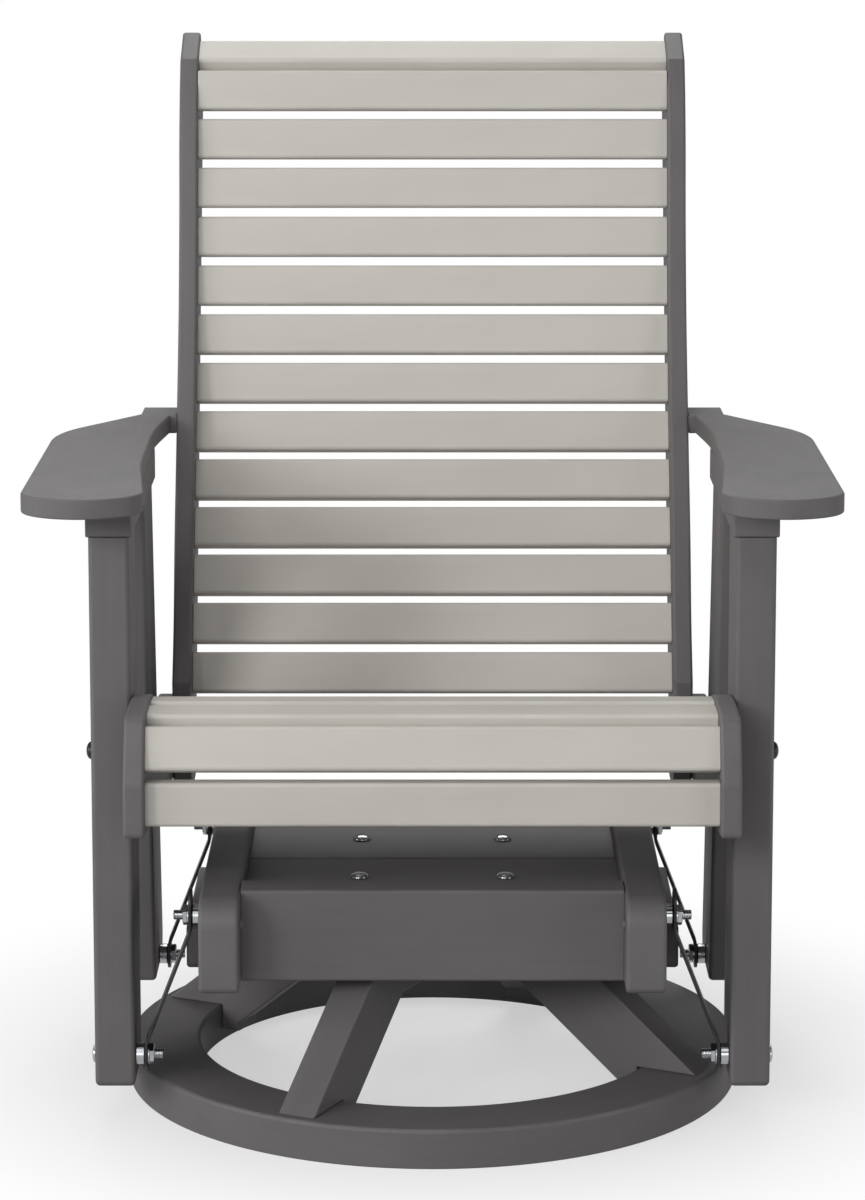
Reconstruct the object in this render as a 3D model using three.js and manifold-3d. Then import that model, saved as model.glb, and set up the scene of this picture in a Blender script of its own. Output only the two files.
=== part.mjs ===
// An outdoor swivel glider. A slatted armchair of plastic lumber hangs by four bent
// steel links from a small deck. The deck turns on a ball swivel above a ring stand.
// Millimetres, +Z up. X runs across the seat, the sitter faces -Y, and the floor is Z = 0.

import * as THREE from 'three';
import { mergeVertices } from 'three/addons/utils/BufferGeometryUtils.js';
import Module from 'manifold-3d';

const wasm = await Module();
wasm.setup();

const degree = Math.PI / 180;
const sides = { left: -1, right: 1 };
const ends = { front: -1, rear: 1 };

// Stock: two board thicknesses and one slat, all with eased edges.
const thickBoard = 38;
const thinBoard = 19;
const slatThickness = 19;
const slatWidth = 41.5;
const thickEase = 4.5;
const thinEase = 3;
const slatEase = 4;

// Clearances: between turned pieces, and around a bolt in its hole.
const turnGap = 0.3;
const holeGap = 0.35;
const overrun = 5;

// Stand: a flat ring that reaches a little under the legs, four sloping struts and a
// hub board on their level tops.
const ringReach = 17.5;
const ringWidth = 70;
const ringEase = 4;
const standHeight = 144;
const strutCount = 4;
const strutHeading = 64 * degree;
const strutSlope = 39 * degree;
const strutSetback = 10;
const strutToeLift = 13;
const strutToeHeight = 8;
const strutToeLength = 19;
const strutLevelDepth = 36;
const strutCoreRadius = 22;
const strutEase = 2;
const hubMargin = 11;
const hubCorner = 14;

// Swivel: two square plates, each with a race, and a cage of balls between the races.
const swivelHeight = 14;
const plateThickness = 2.5;
const boltSpacing = 142;
const plateMargin = 18;
const plateCorner = 12;
const plateBore = 40;
const ballCircleRadius = 62;
const ballRadius = 3.5;
const ballCount = 12;
const ballGap = 0.5;
const raceWidth = 8;
const raceDepth = 6.5;
const cageWidth = 4;
const cageThickness = 2;

// Carriage bolts that hold the upper plate under the deck.
const deckBoltRadius = 4;
const deckBoltHeadRadius = 8.75;
const deckBoltHeadHeight = 5;
const deckNutRadius = 7;
const deckNutHeight = 6.5;

// Deck frame: two deck boards inside a box of four rails.
const hangerSpace = 64;
const frameHeight = 89;
const frameNose = 43;
const deckGap = 9;
const sweepGap = 1.5;
const railCorner = 7;
const crossRailInset = 21;
const blockThickness = 18.5;
const blockHeight = 43;
const blockLength = 218;
const blockDrop = 11;

// Links and their pivots: the same spacing above and below, so the chair stays level.
const pivotSpread = 332;
const upperPivotLift = 59.5;
const lowerPivotHeight = 68;
const linkThickness = 3;
const linkWidth = 29;
const linkTopReach = 26;
const linkBottomReach = 14.5;
const linkUpperBend = 14;
const linkLowerBend = 12;
const linkBendRadius = 12;

// Pivot bolts, each with a bearing collar on both sides of its link.
const collarLength = 9;
const collarRadius = 10.2;
const journalRadius = 6;
const pivotShankRadius = 4.75;
const pivotHeadRadius = 8.5;
const pivotHeadHeight = 4.5;
const outerCollarLength = 5.1;
const threadLength = 7;
const threadChamfer = 1;
const counterboreDepth = 6;
const counterboreMargin = 1.2;

// Legs, arms and the cleats under the arms.
const seatWidth = 529;
const legDepth = 89;
const frontLegInset = 17;
const frontLegLift = 39.5;
const legTop = 572.5;
const rearLegLift = 53;
const rearLegDepth = 110;
const rearLegLean = 10.3 * degree;
const rearLegInset = 60;
const rearLegCorner = 25;
const cleatHeight = 31.5;
const cleatOverhang = 2.5;
const cleatRearReach = 146;
const armOverhang = 58;
const armNoseReach = 81;
const armNoseDepth = 45;
const armInnerReach = 17;
const armRearReach = 290;
const armTabDepth = 56;
const armTailWidth = 37.5;
const armTailNotch = 10;
const armBendReach = 121;
const armBendRadius = 160;

// Seat rails. The slats lie just below the rails' top edges.
const seatFront = 289;
const seatRailRear = 200;
const seatDrop = 82.5;
const railProud = 3;
const railFrontBottom = 311.5;
const railBreakDepth = 53.5;
const railTopSetback = 27;
const railRearDepth = 82;
const railFrontCorner = 10;
const frontSlatRecess = 14;
const frontSlatLift = 7.5;
const frontSlatTilt = 20.3 * degree;
const frontSlatGap = 12;
const frontSlatTopGap = 5.1;
const topSlatSetback = 50;
const topSlatCount = 7;

// Backrest: two contoured stiles, thirteen face slats and a roll-top slat.
const backLean = 19.65 * degree;
const stileFootReach = 193.3;
const stileFootHeight = 250;
const stileLength = 786;
const stileDepth = 109;
const backSlatCount = 13;
const rollTopInset = 2.5;
const rollTopGap = 13;

// Sizes that follow from the ones above.
const deckBottom = standHeight + thinBoard + swivelHeight;
const deckTop = deckBottom + thickBoard;
const frameBottom = standHeight + sweepGap;
const pivotReach = pivotSpread / 2;
const upperPivotHeight = frameBottom + upperPivotLift;
const crossRailReach = pivotReach + crossRailInset;
const deckDepth = crossRailReach - thickBoard - deckGap;
const plateSize = boltSpacing + 2 * plateMargin;
const railInner = seatWidth / 2;
const stileInner = railInner - thinBoard;
const legInner = railInner + thinBoard;
const legOuter = legInner + thickBoard;
const ringOuterRadius = legInner + ringReach;
const ringInnerRadius = ringOuterRadius - ringWidth;
const frameOuter = legInner - hangerSpace;
const frameInner = frameOuter - thickBoard;
const armBottom = legTop + cleatHeight;
const frontSlatRise = slatWidth * Math.cos(frontSlatTilt);
const upperSlatFoot = railFrontBottom + frontSlatLift + slatWidth + frontSlatGap;
const seatHeight = upperSlatFoot + frontSlatRise + frontSlatTopGap;
const railFrontBreak = seatHeight - railBreakDepth;

const charcoal = { color: 0x605e5f, roughness: 0.55, metalness: 0 };
const warmGrey = { color: 0xb9b5af, roughness: 0.55, metalness: 0 };
const blackSteel = { color: 0x1d1d1e, roughness: 0.45, metalness: 0.6 };
const zinc = { color: 0xc4c6c8, roughness: 0.3, metalness: 0.95 };

function point(x, y) {
  return new THREE.Vector2(x, y);
}

// A named mesh with a material of its own.
function piece(name, geometry, look) {
  const mesh = new THREE.Mesh(geometry, new THREE.MeshStandardMaterial(look));
  mesh.name = name;
  return mesh;
}

// A closed geometry as a solid for cutting and joining.
function solidOf(geometry) {
  const bare = geometry.clone();
  bare.deleteAttribute('normal');
  bare.deleteAttribute('uv');
  const merged = mergeVertices(bare, 1e-4);
  const vertProperties = new Float32Array(merged.attributes.position.array);
  const triVerts = new Uint32Array(merged.index.array);
  return new wasm.Manifold(new wasm.Mesh({ numProp: 3, vertProperties, triVerts }));
}

// The solid's surface as a geometry again.
function geometryOf(solid) {
  const { vertProperties, triVerts } = solid.getMesh();
  const geometry = new THREE.BufferGeometry();
  geometry.setAttribute('position', new THREE.BufferAttribute(vertProperties, 3));
  geometry.setIndex(new THREE.BufferAttribute(triVerts, 1));
  geometry.computeVertexNormals();
  return geometry;
}

function cut(geometry, tools) {
  return geometryOf(tools.reduce((solid, tool) => solid.subtract(solidOf(tool)), solidOf(geometry)));
}

function join(geometries) {
  const [first, ...rest] = geometries.map(solidOf);
  return geometryOf(rest.reduce((solid, next) => solid.add(next), first));
}

// Turns a drawing in X and Y, extruded along Z, so that it lies in Y and Z across X.
function acrossX(geometry) {
  const axes = [new THREE.Vector3(0, 1, 0), new THREE.Vector3(0, 0, 1), new THREE.Vector3(1, 0, 0)];
  return geometry.applyMatrix4(new THREE.Matrix4().makeBasis(...axes));
}

// An outline with its corners rounded; each corner is a point and the radius there.
function rounded(corners, steps = 3) {
  return corners.flatMap(([corner, radius], index) => {
    if (!radius) {
      return [corner];
    }
    const before = corners.at(index - 1)[0].clone().sub(corner).normalize();
    const after = corners[(index + 1) % corners.length][0].clone().sub(corner).normalize();
    const half = Math.acos(before.dot(after)) / 2;
    const centre = before.clone().add(after).normalize().multiplyScalar(radius / Math.sin(half)).add(corner);
    const start = before.multiplyScalar(radius / Math.tan(half)).add(corner).sub(centre);
    const end = after.multiplyScalar(radius / Math.tan(half)).add(corner).sub(centre);
    const turn = Math.atan2(start.cross(end), start.dot(end));
    const stops = Array.from({ length: steps + 1 }, (_, step) => (turn * step) / steps);
    return stops.map((angle) => start.clone().rotateAround(point(0, 0), angle).add(centre));
  });
}

function rectangle(width, height, radius) {
  const x = width / 2;
  const y = height / 2;
  return rounded([
    [point(-x, -y), radius],
    [point(x, -y), radius],
    [point(x, y), radius],
    [point(-x, y), radius],
  ]);
}

// A board of the given outline, centred on its thickness, with eased edges.
function board(outline, thickness, ease, easeSteps = 2) {
  const geometry = new THREE.ExtrudeGeometry(new THREE.Shape(outline), {
    depth: thickness - 2 * ease,
    bevelEnabled: ease > 0,
    bevelThickness: ease,
    bevelSize: ease,
    bevelOffset: -ease,
    bevelSegments: easeSteps,
  });
  return geometry.translate(0, 0, ease - thickness / 2);
}

// A board of rounded section that runs across X, such as a slat or a cross rail.
function bar(length, depth, height, radius) {
  return acrossX(board(rectangle(depth, height, radius), length, 0));
}

// A turned shape from radius and height pairs, standing on +Z.
function turned(profile, segments) {
  const points = profile.map(([radius, height]) => point(radius, height));
  return new THREE.LatheGeometry(points, segments).rotateX(Math.PI / 2);
}

function rod(radius, bottom, top, segments = 12) {
  return turned([[0, bottom], [radius, bottom], [radius, top], [0, top]], segments);
}

// A round cutter along X at the given place.
function crossDrill(radius, from, to, y, z) {
  return rod(radius, Math.min(from, to), Math.max(from, to)).rotateY(Math.PI / 2).translate(0, y, z);
}

// A low dome on a flat underside, as on a carriage bolt.
function domeProfile(radius, height, base, direction) {
  const steps = 2;
  return Array.from({ length: steps + 1 }, (_, step) => {
    const angle = (step / steps) * (Math.PI / 2);
    return [radius * Math.cos(angle), base + direction * height * Math.sin(angle)];
  });
}

// Stand.

function baseRing() {
  const corners = [
    [point(ringInnerRadius, 0), 0],
    [point(ringOuterRadius, 0), 0],
    [point(ringOuterRadius, thickBoard), ringEase],
    [point(ringInnerRadius, thickBoard), ringEase],
  ];
  const section = rounded(corners, 2);
  const profile = [...section, section[0]].map((corner) => [corner.x, corner.y]);
  return turned(profile, 80);
}

// A strut in side view: x is the distance from the swivel axis. Its toe rests on the
// ring, a notch drops inside the ring's bore, and its top runs level under the hub.
function strut() {
  const wall = Math.sqrt(ringInnerRadius ** 2 - (thickBoard / 2) ** 2) - 2 * turnGap;
  const seat = thickBoard + turnGap;
  const tip = ringOuterRadius - strutSetback;
  const slope = Math.tan(strutSlope);
  const levelBottom = standHeight - strutLevelDepth;
  const toeTop = strutToeLift + strutToeHeight;
  const toeEnd = wall - strutToeLength;
  const outline = rounded([
    [point(tip, seat), 0],
    [point(tip - (standHeight - seat) / slope, standHeight), 0],
    [point(strutCoreRadius, standHeight), 0],
    [point(strutCoreRadius, levelBottom), 0],
    [point(toeEnd - (levelBottom - toeTop) / slope, levelBottom), 0],
    [point(toeEnd, toeTop), 0],
    [point(toeEnd, strutToeLift), 0],
    [point(wall, strutToeLift), 0],
    [point(wall, seat), 0],
  ]);
  return board(outline, thickBoard, strutEase, 1).rotateX(Math.PI / 2);
}

function hubBoard() {
  const size = plateSize + 2 * hubMargin;
  return board(rectangle(size, size, hubCorner), thinBoard, thinEase, 1);
}

// Half of the swivel with its plate at the bottom and its race standing up.
function racePlate(raceInner, raceOuter) {
  const plate = board(rectangle(plateSize, plateSize, plateCorner), plateThickness, 0);
  plate.translate(0, 0, plateThickness / 2);
  const race = turned([
    [raceInner, 0],
    [raceOuter, 0],
    [raceOuter, plateThickness + raceDepth],
    [raceInner, plateThickness + raceDepth],
    [raceInner, 0],
  ], 36);
  return cut(join([plate, race]), [rod(plateBore, -overrun, plateThickness + overrun, 32)]);
}

function ballCage() {
  const inner = ballCircleRadius - cageWidth / 2;
  const outer = ballCircleRadius + cageWidth / 2;
  const half = cageThickness / 2;
  const ring = turned([[inner, -half], [outer, -half], [outer, half], [inner, half], [inner, -half]], 36);
  const balls = Array.from({ length: ballCount }, (_, index) => {
    const angle = (index / ballCount) * 2 * Math.PI;
    const ball = new THREE.SphereGeometry(ballRadius, 6, 4);
    return ball.translate(ballCircleRadius * Math.cos(angle), ballCircleRadius * Math.sin(angle), 0);
  });
  return join([ring, ...balls]);
}

function buildStand() {
  const stand = new THREE.Group();
  stand.add(piece('base_ring', baseRing(), charcoal));
  for (let index = 0; index < strutCount; index += 1) {
    const mesh = piece(`strut_${index + 1}`, strut(), charcoal);
    mesh.rotation.z = strutHeading + (index / strutCount) * 2 * Math.PI;
    stand.add(mesh);
  }
  const hub = piece('hub_board', hubBoard(), charcoal);
  hub.position.z = standHeight + thinBoard / 2;
  stand.add(hub);
  const raceOuter = ballCircleRadius - ballRadius - ballGap;
  const lowerPlate = piece('swivel_lower_plate', racePlate(raceOuter - raceWidth, raceOuter), blackSteel);
  lowerPlate.position.z = standHeight + thinBoard;
  stand.add(lowerPlate);
  const cage = piece('ball_cage', ballCage(), zinc);
  cage.position.z = standHeight + thinBoard + swivelHeight / 2;
  stand.add(cage);
  return stand;
}

// Deck: the swivel's upper half, two boards, the box of rails and the upper pivots.

// One carriage bolt of the deck: head above the boards and nut under the plate.
function deckBolt(x, y) {
  const top = deckTop + turnGap;
  const shank = rod(deckBoltRadius, deckBottom - plateThickness - deckNutHeight, top + turnGap);
  const head = turned([[0, top], ...domeProfile(deckBoltHeadRadius, deckBoltHeadHeight, top, 1)], 12);
  const nut = rod(deckNutRadius, deckBottom - plateThickness - deckNutHeight, deckBottom - turnGap, 6);
  return [shank, head, nut].map((geometry) => geometry.translate(x, y, 0));
}

function swivelUpperPlate() {
  const raceInner = ballCircleRadius + ballRadius + ballGap;
  const plate = racePlate(raceInner, raceInner + raceWidth).rotateX(Math.PI).translate(0, 0, deckBottom);
  const half = boltSpacing / 2;
  const bolts = [-half, half].flatMap((x) => [-half, half].flatMap((y) => deckBolt(x, y)));
  return join([plate, ...bolts]);
}

function deckBoard(end) {
  const half = boltSpacing / 2;
  const plank = bar(2 * frameInner, deckDepth, thickBoard, thinEase);
  plank.translate(0, (end * deckDepth) / 2, deckBottom + thickBoard / 2);
  const hole = () => rod(deckBoltRadius + holeGap, deckBottom - overrun, deckTop + overrun);
  return cut(plank, [-half, half].map((x) => hole().translate(x, end * half, 0)));
}

// A side rail with its block, drilled and counterbored for the two upper pivots.
function sideRail(side) {
  const length = 2 * (crossRailReach + frameNose);
  const rail = acrossX(board(rectangle(length, frameHeight, railCorner), thickBoard, thickEase));
  rail.translate(side * (frameInner + thickBoard / 2), 0, frameBottom + frameHeight / 2);
  const blockFace = rectangle(blockLength, blockHeight, 2 * thinEase);
  const block = acrossX(board(blockFace, blockThickness + thinEase, thinEase, 1));
  const blockX = frameOuter + (blockThickness - thinEase) / 2;
  block.translate(side * blockX, 0, frameBottom - blockDrop + blockHeight / 2);
  const counterbore = side * (frameInner + counterboreDepth);
  const drills = Object.values(ends).flatMap((end) => [
    crossDrill(pivotShankRadius + holeGap, side * (frameInner - overrun), side * (frameOuter + overrun),
      end * pivotReach, upperPivotHeight),
    crossDrill(pivotHeadRadius + counterboreMargin, side * (frameInner - overrun), counterbore,
      end * pivotReach, upperPivotHeight),
  ]);
  return cut(join([rail, block]), drills);
}

// A pivot bolt along +Z. Height zero is the face that its first collar bears on, and
// the grip is the wood between that face and the head.
function pivotBolt(grip) {
  const headBase = -grip - turnGap;
  const linkNear = collarLength - turnGap;
  const linkFar = collarLength + linkThickness + turnGap;
  const collarEnd = linkFar + outerCollarLength;
  const threadEnd = collarEnd + threadLength;
  return turned([
    ...domeProfile(pivotHeadRadius, pivotHeadHeight, headBase, -1).reverse(),
    [pivotShankRadius, headBase],
    [pivotShankRadius, turnGap],
    [collarRadius, turnGap],
    [collarRadius, linkNear],
    [journalRadius, linkNear],
    [journalRadius, linkFar],
    [collarRadius, linkFar],
    [collarRadius, collarEnd],
    [pivotShankRadius, collarEnd],
    [pivotShankRadius, threadEnd - threadChamfer],
    [pivotShankRadius - threadChamfer, threadEnd],
    [0, threadEnd],
  ], 12);
}

function buildDeck() {
  const deck = new THREE.Group();
  deck.add(piece('swivel_upper_plate', swivelUpperPlate(), zinc));
  for (const [endName, end] of Object.entries(ends)) {
    deck.add(piece(`deck_board_${endName}`, deckBoard(end), charcoal));
    const railShape = bar(2 * frameInner, thickBoard, frameHeight, thinEase);
    const rail = piece(`cross_rail_${endName}`, railShape, charcoal);
    rail.position.set(0, end * (crossRailReach - thickBoard / 2), frameBottom + frameHeight / 2);
    deck.add(rail);
  }
  for (const [sideName, side] of Object.entries(sides)) {
    deck.add(piece(`side_rail_${sideName}`, sideRail(side), charcoal));
    for (const [endName, end] of Object.entries(ends)) {
      const grip = thickBoard - counterboreDepth;
      const bolt = piece(`upper_pivot_${endName}_${sideName}`, pivotBolt(grip), zinc);
      bolt.position.set(side * frameOuter, end * pivotReach, upperPivotHeight);
      bolt.rotation.y = (side * Math.PI) / 2;
      deck.add(bolt);
    }
  }
  return deck;
}

// Links: flat bars bent outwards from the deck's pivots to the legs' pivots.

// The two sides of a strip that follows a path at a constant thickness.
function strip(path, thickness) {
  const offset = (distance) => path.map((place, index) => {
    const from = path[Math.max(index - 1, 0)];
    const to = path[Math.min(index + 1, path.length - 1)];
    const along = to.clone().sub(from).normalize();
    return point(place.x - along.y * distance, place.y + along.x * distance);
  });
  return [...offset(thickness / 2), ...offset(-thickness / 2).reverse()];
}

function link(side) {
  const top = upperPivotHeight + linkTopReach;
  const bottom = lowerPivotHeight - linkBottomReach;
  const upperX = frameOuter + collarLength + linkThickness / 2;
  const lowerX = legInner - collarLength - linkThickness / 2;
  const path = rounded([
    [point(upperX, top), 0],
    [point(upperX, upperPivotHeight - linkUpperBend), linkBendRadius],
    [point(lowerX, lowerPivotHeight + linkLowerBend), linkBendRadius],
    [point(lowerX, bottom), 0],
  ]);
  const bent = board(strip(path, linkThickness), linkWidth + 2 * overrun, 0).rotateX(Math.PI / 2);
  const middle = (top + bottom) / 2;
  const face = board(rectangle(linkWidth, top - bottom, linkWidth / 2 - turnGap), 2 * legOuter, 0);
  acrossX(face).translate(0, 0, middle);
  const holes = [upperPivotHeight, lowerPivotHeight].map((height) =>
    crossDrill(journalRadius + holeGap, 0, legOuter, 0, height));
  const outline = cut(face, holes);
  const flatBar = geometryOf(solidOf(bent).intersect(solidOf(outline)));
  return side > 0 ? flatBar : flatBar.rotateZ(Math.PI);
}

function buildLinks() {
  const links = new THREE.Group();
  for (const [sideName, side] of Object.entries(sides)) {
    for (const [endName, end] of Object.entries(ends)) {
      const mesh = piece(`link_${endName}_${sideName}`, link(side), blackSteel);
      mesh.position.y = end * pivotReach;
      links.add(mesh);
    }
  }
  return links;
}

// Chair.

function frontLeg(side) {
  const height = legTop - frontLegLift + overrun;
  const leg = acrossX(board(rectangle(legDepth, height, railCorner), thickBoard, thickEase));
  leg.translate(0, legDepth / 2 - pivotReach - frontLegInset, frontLegLift + height / 2);
  return finishedLeg(leg, side, ends.front);
}

// The rear leg leans: its foot stands further back than its top.
function rearLeg(side) {
  const top = legTop + overrun;
  const footRear = pivotReach + rearLegInset;
  const topRear = footRear - (top - rearLegLift) * Math.tan(rearLegLean);
  const outline = rounded([
    [point(footRear - rearLegDepth, rearLegLift), railCorner],
    [point(footRear, rearLegLift), rearLegCorner],
    [point(topRear, top), 0],
    [point(topRear - rearLegDepth, top), 0],
  ], 4);
  return finishedLeg(acrossX(board(outline, thickBoard, thickEase)), side, ends.rear);
}

// Sawn square under the cleat, and drilled for its lower pivot.
function finishedLeg(leg, side, end) {
  leg.translate(side * (legInner + thickBoard / 2), 0, 0);
  const waste = new THREE.BoxGeometry(2 * legOuter + overrun, 2 * armRearReach, thickBoard);
  waste.translate(0, 0, legTop + thickBoard / 2);
  const from = side * (legInner - overrun);
  const to = side * (legOuter + overrun);
  const drill = crossDrill(pivotShankRadius + holeGap, from, to, end * pivotReach, lowerPivotHeight);
  return cut(leg, [waste, drill]);
}

// Shares of the arm's length from the root of its nose to its tab, and of its width.
const armWaistShares = [[1, 0.044], [0.775, 0.126], [0.56, 0.126], [0.342, 0.113], [0.223, 0.077], [0, 0]];

// The arm in plan: a round nose, a waisted inner edge, an outer edge that bends in to a
// narrow tail, and a tab that meets the stile. The cleat under it carries it on the two legs.
function arm(side) {
  const outer = legOuter + armOverhang;
  const inner = legInner - armInnerReach;
  const noseCentre = (outer + inner) / 2;
  const noseBase = armNoseDepth - pivotReach - frontLegInset - armNoseReach;
  const tabFront = armRearReach - armTabDepth;
  const inPlan = ([lengthShare, widthShare]) =>
    point(inner + widthShare * (outer - inner), noseBase + lengthShare * (tabFront - noseBase));
  const noseHalf = (outer - inner) / 2;
  const nose = new THREE.EllipseCurve(noseCentre, noseBase, noseHalf, armNoseDepth, Math.PI, 2 * Math.PI);
  const waist = new THREE.SplineCurve(armWaistShares.map(inPlan));
  const tail = railInner + armTailWidth;
  const plan = rounded([
    ...nose.getPoints(14).map((corner) => [corner, 0]),
    [point(outer, armBendReach), armBendRadius],
    [point(tail, tabFront + armTailNotch), 0],
    [point(tail, armRearReach), 0],
    [point(railInner, armRearReach), 0],
    [point(railInner, tabFront), 0],
    ...waist.getPoints(10).slice(0, -1).map((corner) => [corner, 0]),
  ], 5).map((corner) => point(side * corner.x, corner.y));
  const plank = board(plan, thinBoard, thinEase).translate(0, 0, armBottom + thinBoard / 2);
  const cleatFront = pivotReach + frontLegInset;
  const cleatLength = cleatFront + cleatRearReach;
  const cleatWidth = thickBoard + 2 * cleatOverhang;
  const cleatRise = cleatHeight + thinEase;
  const cleat = acrossX(board(rectangle(cleatLength, cleatRise, thinEase), cleatWidth, thinEase / 2, 1));
  cleat.translate(side * (legInner + thickBoard / 2), cleatLength / 2 - cleatFront, legTop + cleatRise / 2);
  return join([plank, cleat]);
}

// The line of the seat's top, from the first top slat to the rails' rear ends: level at
// the front, then a slope that flattens. Shares of the seat's depth and drop.
const seatLineShares = [
  [0, 0], [0.095, 0], [0.206, 0.048], [0.41, 0.358], [0.637, 0.679], [0.816, 0.867], [1, 1],
];
const seatLineStart = topSlatSetback - seatFront;
const seatLine = new THREE.SplineCurve(seatLineShares.map(([depth, drop]) =>
  point(seatLineStart + depth * (seatRailRear - seatLineStart), seatHeight - drop * seatDrop)));
const topSlatSpanShare = 0.775;

// A seat rail follows the seat's line along its top and stands proud of the slats.
function seatRail() {
  const top = seatLine.getPoints(20).map((corner) => point(corner.x, corner.y + railProud));
  const rear = top.at(-1);
  const corners = [
    [point(-seatFront, railFrontBottom), 2 * thinEase],
    [point(rear.x, rear.y - railRearDepth), railFrontCorner],
    [rear, 2 * thinEase],
    ...top.slice(1, -1).reverse().map((corner) => [corner, 0]),
    [point(railTopSetback - seatFront, top[0].y), railFrontCorner],
    [point(-seatFront, railFrontBreak), 2 * railFrontCorner],
  ];
  return acrossX(board(rounded(corners), thinBoard, thinEase));
}

// A slat with its top face at the given place, tilted about X.
function layFaceUp(mesh, y, z, tilt) {
  mesh.rotation.x = tilt;
  mesh.position.set(0, y + (Math.sin(tilt) * slatThickness) / 2, z - (Math.cos(tilt) * slatThickness) / 2);
  return mesh;
}

function slat(name, length) {
  return piece(name, bar(length, slatWidth, slatThickness, slatEase), warmGrey);
}

function seatSlats() {
  const slats = new THREE.Group();
  const faceY = frontSlatRecess - seatFront;
  const lowerMiddle = railFrontBottom + frontSlatLift + slatWidth / 2;
  slats.add(layFaceUp(slat('front_slat_lower', seatWidth), faceY, lowerMiddle, Math.PI / 2));
  const upperY = faceY + (Math.sin(frontSlatTilt) * slatWidth) / 2;
  const upperZ = upperSlatFoot + frontSlatRise / 2;
  slats.add(layFaceUp(slat('front_slat_upper', seatWidth), upperY, upperZ, Math.PI / 2 - frontSlatTilt));
  const span = topSlatSpanShare - slatWidth / seatLine.getLength();
  for (let index = 0; index < topSlatCount; index += 1) {
    const share = slatWidth / 2 / seatLine.getLength() + (index / (topSlatCount - 1)) * span;
    const place = seatLine.getPointAt(share);
    const along = seatLine.getTangentAt(share);
    const seatSlat = slat(`seat_slat_${index + 1}`, seatWidth);
    slats.add(layFaceUp(seatSlat, place.x, place.y, Math.atan2(along.y, along.x)));
  }
  return slats;
}

// Stile and back slats are drawn in the backrest's own frame: its origin is the stile's
// rear foot, Z runs up the straight rear edge and -Y points to the sitter.
// Shares are of the stile's length and depth.
const stileFrontShares = [
  [0.107, 1], [0.19, 0.905], [0.3, 0.915], [0.424, 0.82],
  [0.589, 0.717], [0.724, 0.775], [0.829, 0.91], [0.898, 0.932],
];
const stileToeShares = [-0.032, 0.642];
const stileFoldShares = [0.946, 0.89];
const stileCrownShares = [1, 0.52];
const stileHeelShares = [0.94, 0];
const slatLineShares = [
  [0.127, 0.69], [0.192, 0.7], [0.257, 0.68], [0.321, 0.624],
  [0.451, 0.554], [0.581, 0.568], [0.71, 0.672], [0.838, 0.832],
];
const slatLineTopShare = 0.898;

function onStile([lengthShare, depthShare]) {
  return point(-depthShare * stileDepth, lengthShare * stileLength);
}

function backStile() {
  const front = new THREE.SplineCurve(stileFrontShares.map(onStile)).getPoints(26);
  const corners = [
    [point(0, 0), 2 * thinEase],
    [onStile(stileHeelShares), 3 * thinEase],
    [onStile(stileCrownShares), 2 * thinEase],
    [onStile(stileFoldShares), 0],
    ...front.reverse().map((corner) => [corner, 0]),
    [onStile(stileToeShares), 2 * thinEase],
  ];
  return acrossX(board(rounded(corners), thinBoard, thinEase));
}

// The faces of the slats touch one line that bends at the small of the back. The
// roll-top slat lies just under the stiles' rolled tops.
function backSlats() {
  const slats = new THREE.Group();
  const fold = onStile(stileFoldShares);
  const top = point(-slatLineTopShare * stileDepth, fold.y - rollTopGap - slatWidth / 2);
  const line = new THREE.SplineCurve([...slatLineShares.map(onStile), top]);
  for (let index = 0; index < backSlatCount; index += 1) {
    const share = index / (backSlatCount - 1);
    const place = line.getPointAt(share);
    const along = line.getTangentAt(share);
    const name = `back_slat_${String(index + 1).padStart(2, '0')}`;
    slats.add(layFaceUp(slat(name, 2 * stileInner), place.x, place.y, Math.atan2(along.y, along.x)));
  }
  const facet = onStile(stileCrownShares).sub(fold).normalize();
  const middle = fold.addScaledVector(facet, slatWidth / 2 + rollTopInset);
  const inset = point(facet.y, -facet.x).multiplyScalar(rollTopInset);
  const tilt = Math.atan2(facet.y, facet.x);
  slats.add(layFaceUp(slat('roll_top_slat', 2 * stileInner), middle.x + inset.x, middle.y + inset.y, tilt));
  return slats;
}

function buildChair() {
  const chair = new THREE.Group();
  const backrest = new THREE.Group();
  backrest.position.set(0, stileFootReach, stileFootHeight);
  backrest.rotation.x = -backLean;
  backrest.add(backSlats());
  for (const [sideName, side] of Object.entries(sides)) {
    const rail = piece(`seat_rail_${sideName}`, seatRail(), charcoal);
    rail.position.x = side * (railInner + thinBoard / 2);
    const stile = piece(`back_stile_${sideName}`, backStile(), charcoal);
    stile.position.x = side * (railInner - thinBoard / 2);
    backrest.add(stile);
    chair.add(rail, piece(`front_leg_${sideName}`, frontLeg(side), charcoal));
    chair.add(piece(`rear_leg_${sideName}`, rearLeg(side), charcoal));
    chair.add(piece(`arm_${sideName}`, arm(side), charcoal));
    for (const [endName, end] of Object.entries(ends)) {
      const bolt = piece(`lower_pivot_${endName}_${sideName}`, pivotBolt(thickBoard), zinc);
      bolt.position.set(side * legInner, end * pivotReach, lowerPivotHeight);
      bolt.rotation.y = (-side * Math.PI) / 2;
      chair.add(bolt);
    }
  }
  chair.add(backrest, seatSlats());
  return chair;
}

// The finished glider, moved so that its footprint is centred on the origin.
const glider = new THREE.Group();
glider.add(buildStand(), buildDeck(), buildLinks(), buildChair());
const footprint = new THREE.Box3().setFromObject(glider, true);
glider.position.y = -(footprint.min.y + footprint.max.y) / 2;

export default glider;
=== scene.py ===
import math
import bpy
import bmesh
from mathutils import Matrix, Vector


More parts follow.
